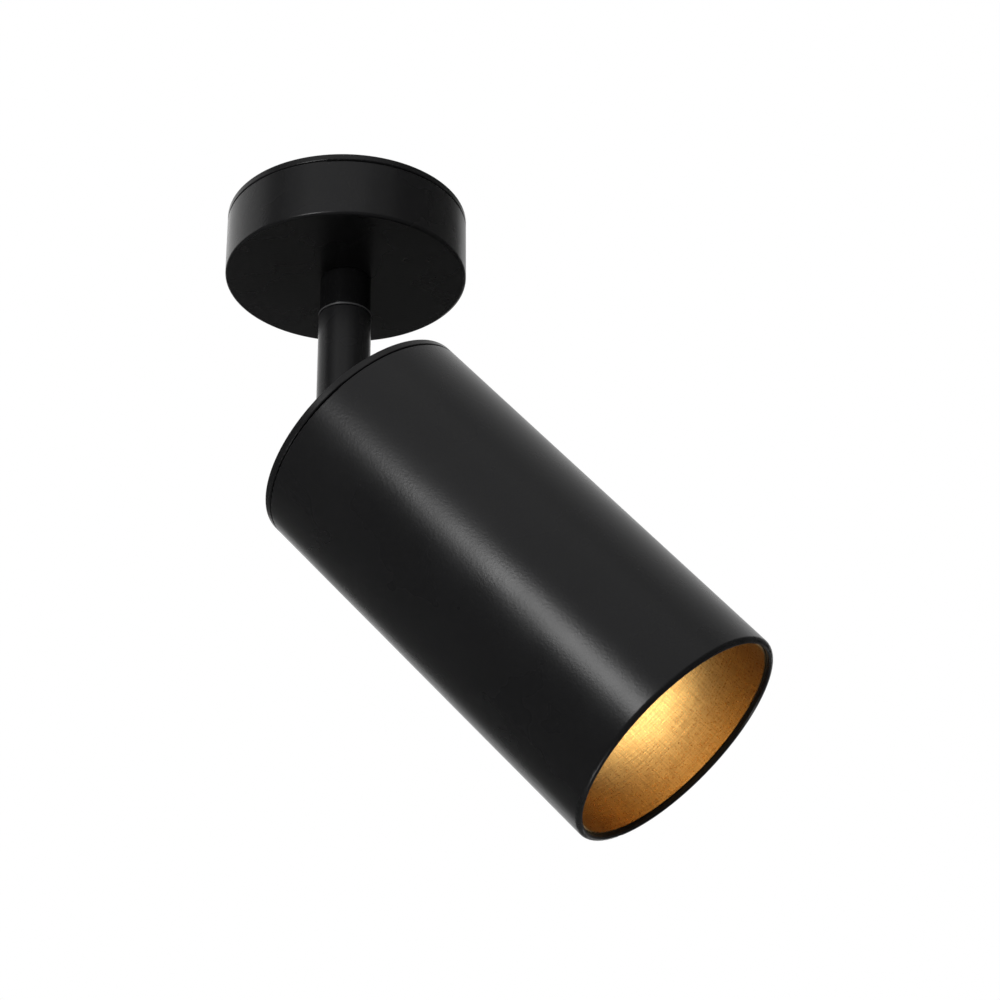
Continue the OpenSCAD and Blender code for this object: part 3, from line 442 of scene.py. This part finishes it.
# Lug nut: turned and zinc plated, on the thread of the lug inside the rear cap. Its rings run
# round the axis of the head, which leans out from the pivot at the photographed tilt.
tilt = math.radians(41.1)
head_axis = Vector((math.sin(tilt), 0, -math.cos(tilt)))
pivot_at = Vector((0, 0, -0.0571))
lug_zinc = new_material(
    "lug_zinc", lathe_rings, {"Centre": pivot_at, "Axis": head_axis, "Roughness": 0.32},
    bump=0.000006, Metallic=1)
dress(lug_zinc, "lug_nut")


# Head: a plain aluminium tube with a separate rear cap screwed into it, both in the black powder
# coat, which catches the long soft highlight down the side.
dress(powder_black, "rear_cap", "head_tube")


# Lamp holder: pressed steatite, an off-white ceramic with a dense, slightly sandy skin. Two
# screws hold it to the bracket behind it.
steatite = new_material(
    "steatite", moulded,
    {"Plastic": (0.72, 0.69, 0.62, 1), "Roughness": 0.48, "Grain per metre": 2200.0},
    bump=0.00002, Subsurface_Weight=0.1, Subsurface_Scale=0.001, IOR=1.58)
dress(steatite, "lamp_holder")


# Gold baffle: spun aluminium in a clear gold lacquer. Its inside shows a fine grain, crossed by
# faint lines along the tube and round it from the spinning.
gold_grain, taken, given = new_group(
    "gold_grain",
    {"Gold": (0.74, 0.46, 0.15, 1), "Deep": (0.55, 0.32, 0.095, 1), "Roughness": 0.29,
     "Grains per metre": 2200.0, "Centre": pivot_at, "Axis": head_axis}, surface)
baffle_r = 0.028
lines_per_metre = 2600.0
line_drift = 0.06
line_height = 0.6
grain_height = 0.2
arm, along, out = from_centre(gold_grain, taken)
up_side = add_node(
    gold_grain, "ShaderNodeVectorMath", {0: taken.outputs["Axis"], 1: (0, 1, 0)},
    operation="CROSS_PRODUCT").outputs["Vector"]
height = add_node(
    gold_grain, "ShaderNodeVectorMath", {0: arm, 1: up_side},
    operation="DOT_PRODUCT").outputs["Value"]
across = add_node(gold_grain, "ShaderNodeSeparateXYZ", {0: arm}).outputs["Y"]
turn = math_node(
    gold_grain, "MULTIPLY", math_node(gold_grain, "ARCTAN2", height, across), baffle_r)
grains = noise(
    gold_grain, object_place(gold_grain), taken.outputs["Grains per metre"], detail=3.0)


def fine_lines(narrow, wide):
    """Noise that changes fast one way and slowly the other, so that it makes lines."""
    slow = math_node(gold_grain, "MULTIPLY", wide, line_drift)
    spot = add_node(gold_grain, "ShaderNodeCombineXYZ", {"X": narrow, "Y": slow}).outputs["Vector"]
    return noise(gold_grain, spot, lines_per_metre)


both_ways = math_node(gold_grain, "ADD", fine_lines(along, turn), fine_lines(turn, along))
relief = math_node(
    gold_grain, "ADD",
    math_node(gold_grain, "MULTIPLY", grains, grain_height),
    math_node(gold_grain, "MULTIPLY", both_ways, line_height))
deepened = stretch(gold_grain, relief, (0.55, 0.85), (1.0, 0.0))
give(
    gold_grain, given,
    Colour=mix_colours(gold_grain, deepened, taken.outputs["Gold"], taken.outputs["Deep"]),
    Roughness=vary(gold_grain, taken.outputs["Roughness"], grains, (-0.05, 0.07)),
    Height=relief)
gold_lacquer = new_material(
    "gold_lacquer", gold_grain, {}, bump=0.00005, Metallic=1, Coat_Weight=0.4, Coat_Roughness=0.3)
dress(gold_lacquer, "gold_baffle")


# Grip ring: a grey silicone ring in a groove of the baffle, which holds it in the tube. It is
# dusted with talc like the leads, so that it slides in.
grey_silicone = new_material(
    "grey_silicone", rubber, {"Rubber": (0.2, 0.2, 0.2, 1), "Talc": 0.2, "Roughness": 0.55},
    bump=0.00001, IOR=1.42)
dress(grey_silicone, "grip_ring")


# Lamp: a bought-in reflector lamp with a white moulded shell and base, a board with the light
# source, and a pressed glass front.
lamp_white = new_material(
    "lamp_white", moulded,
    {"Plastic": (0.8, 0.8, 0.79, 1), "Roughness": 0.42, "Grain per metre": 2600.0},
    bump=0.000012, Subsurface_Weight=0.1, Subsurface_Scale=0.001, IOR=1.5)
dress(lamp_white, "lamp_shell", "lamp_base")

board_mask, taken, given = new_group(
    "board_mask",
    {"Mask": (0.82, 0.82, 0.8, 1), "Phosphor": (0.85, 0.62, 0.06, 1), "Roughness": 0.38,
     "Source radius": 0.0055, "Centre": pivot_at, "Axis": head_axis}, surface)
speckles_per_metre = 2600.0
arm, along, out = from_centre(board_mask, taken)
beyond = math_node(board_mask, "GREATER_THAN", out, taken.outputs["Source radius"])
speckle = noise(board_mask, object_place(board_mask), speckles_per_metre)
give(
    board_mask, given,
    Colour=scale_colour(
        board_mask,
        mix_colours(board_mask, beyond, taken.outputs["Phosphor"], taken.outputs["Mask"]),
        stretch(board_mask, speckle, (0.3, 0.7), (0.92, 1.05))),
    Roughness=vary(board_mask, taken.outputs["Roughness"], speckle, (-0.04, 0.06)),
    Height=speckle)
light_board = new_material("light_board", board_mask, {}, bump=0.00001, IOR=1.5)
dress(light_board, "led_board")

lens_ribs, taken, given = new_group(
    "lens_ribs",
    {"Glass": (0.9, 0.92, 0.92, 1), "Light": (1, 0.95, 0.86, 1), "Roughness": 0.12,
     "Ribs per metre": 700.0, "Centre": pivot_at, "Axis": head_axis},
    {**surface, "Glow": "Color"})
arm, along, out = from_centre(lens_ribs, taken)
counted = math_node(lens_ribs, "MULTIPLY", out, taken.outputs["Ribs per metre"])
ribs = math_node(lens_ribs, "SINE", math_node(lens_ribs, "MULTIPLY", counted, 2 * math.pi))
fade = stretch(lens_ribs, out, (0.003, 0.016), (1.0, 0.02))
glow = math_node(lens_ribs, "MULTIPLY", fade, stretch(lens_ribs, ribs, (-1.0, 1.0), (0.85, 1.0)))
give(
    lens_ribs, given,
    Colour=scale_colour(
        lens_ribs, taken.outputs["Glass"], stretch(lens_ribs, ribs, (-1.0, 1.0), (0.9, 1.0))),
    Roughness=vary(lens_ribs, taken.outputs["Roughness"], ribs, (0.0, 0.05), old=(-1.0, 1.0)),
    Height=ribs,
    Glow=scale_colour(lens_ribs, taken.outputs["Light"], glow))
lamp_glass = new_material("lamp_glass", lens_ribs, {}, bump=0.00008, IOR=1.5, Emission_Strength=5.6)
dress(lamp_glass, "lamp_lens")


# Room: a large plain pale floor far below, as under a real ceiling, a plain pale wall on each side
# of the camera, and a white surround that the camera, metal and glass see while it lights dimly.
floor_paint = new_material(
    "floor_paint", moulded,
    {"Plastic": (0.88, 0.88, 0.87, 1), "Roughness": 0.8, "Grain per metre": 200.0}, bump=0.0001)
floor_z = -1.2
reach = 30
wall_top = 3.0
wall_front = -4.0
wall_side = 2.2


def plain_sheet(name, corners):
    """A flat painted sheet of the room through four corners."""
    mesh = bpy.data.meshes.new(name)
    mesh.from_pydata(corners, [], [(0, 1, 2, 3)])
    mesh.materials.append(floor_paint)
    sheet = bpy.data.objects.new(name, mesh)
    bpy.context.scene.collection.objects.link(sheet)


plain_sheet("floor", [
    (-reach, -reach, floor_z), (reach, -reach, floor_z), (reach, reach, floor_z), (-reach, reach, floor_z)])
for side, name, wall_back in ((-1, "left_wall", 3.4), (1, "right_wall", 5.0)):
    wall_x = side * wall_side
    plain_sheet(name, [
        (wall_x, wall_front, floor_z), (wall_x, wall_back, floor_z),
        (wall_x, wall_back, wall_top), (wall_x, wall_front, wall_top)])

world = bpy.data.worlds.new("room")
bpy.context.scene.world = world
world.use_nodes = True
room = world.node_tree
room.nodes.clear()
plain_white = (1, 1, 1, 1)
rays = add_node(room, "ShaderNodeLightPath")
mirrored = math_node(
    room, "MAXIMUM", rays.outputs["Is Glossy Ray"], rays.outputs["Is Transmission Ray"])
seen = math_node(room, "MAXIMUM", rays.outputs["Is Camera Ray"], mirrored)
dim = add_node(room, "ShaderNodeBackground", {"Color": plain_white, "Strength": 0.2})
white = add_node(room, "ShaderNodeBackground", {"Color": plain_white, "Strength": 1.0})
either = add_node(room, "ShaderNodeMixShader", {0: seen, 1: dim.outputs[0], 2: white.outputs[0]})
add_node(room, "ShaderNodeOutputWorld", {"Surface": either.outputs[0]})


# Studio lights: a small soft box in front gives the long highlight, broad soft ones on the left and
# above fill the rest, and one near the floor draws the rounded front edge of the head.
aim = Vector((0.03, 0, -0.08))


def soft_box(name, towards, distance, width, depth, brightness):
    """An area lamp at a distance in a direction from the spotlight, facing it."""
    data = bpy.data.lights.new(name, "AREA")
    data.shape = "RECTANGLE"
    data.size = width
    data.size_y = depth
    data.energy = brightness * math.pi * width * depth
    lamp = bpy.data.objects.new(name, data)
    towards = Vector(towards).normalized()
    lamp.location = aim + towards * distance
    lamp.rotation_mode = "QUATERNION"
    lamp.rotation_quaternion = towards.to_track_quat("Z", "Y")
    bpy.context.scene.collection.objects.link(lamp)


soft_box("soft_box_near", (-0.35, -0.935, 0.045), distance=0.65, width=0.18, depth=0.18, brightness=37)
soft_box("soft_box_left", (-0.74, 0.27, 0.5), distance=1.3, width=1.6, depth=0.7, brightness=1.1)
soft_box("soft_box_above", (0.04, -0.72, 0.69), distance=1.3, width=2.2, depth=1.0, brightness=0.62)
soft_box("soft_box_below", (0.02, 0.12, -0.99), distance=1.0, width=0.24, depth=0.24, brightness=15)
